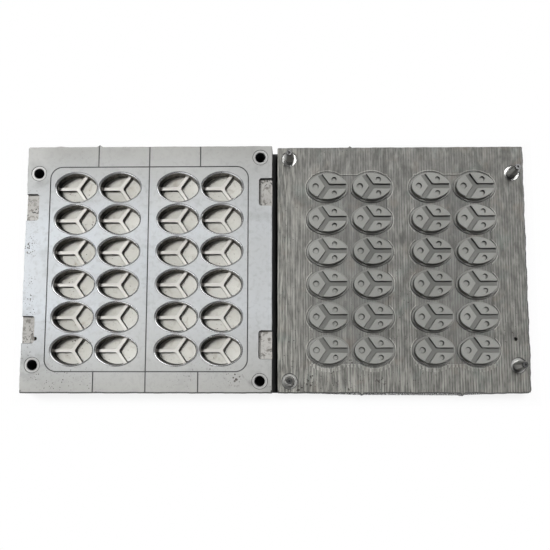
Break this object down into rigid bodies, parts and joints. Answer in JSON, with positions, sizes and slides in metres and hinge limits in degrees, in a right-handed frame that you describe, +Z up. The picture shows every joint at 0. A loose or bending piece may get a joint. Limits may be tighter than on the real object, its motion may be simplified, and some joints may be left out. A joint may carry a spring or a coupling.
{
  "type": "compression mould",
  "caption": "Opened steel compression mould: a plate of bevelled oval cavities parted by ribs, and a plate of matching grooved bosses, with guide pins, bushes, flash grooves and pry slots.",
  "frame": {"origin": "middle of the gap between the two halves, on the surface that both lie on", "axes": "+X from the cavity half to the core half, +Y along the gap, away from the viewer, +Z up, out of the parting faces"},
  "size_m": [0.707, 0.35, 0.066],
  "materials": {
    "ground_steel": "ground steel, light grey, with dull oval pockets",
    "milled_steel": "milled steel, dark olive grey, with straight cutter marks",
    "bush_steel": "turned and hardened steel",
    "pin_steel": "turned, hardened and polished steel"
  },
  "bodies": {
    "cavity_half": {"cavity_plate": "ground_steel", "outer_guide_bushes": "bush_steel", "inner_guide_bushes": "bush_steel"},
    "core_half": {"core_plate": "milled_steel", "outer_guide_pins": "pin_steel", "inner_guide_pins": "pin_steel"}
  },
  "joints": [
    {"name": "core_lift", "type": "slide", "parent": "cavity_half", "child": "core_half", "axis": [0, 0, 1], "range_m": [0, 0.12]}
  ]
}
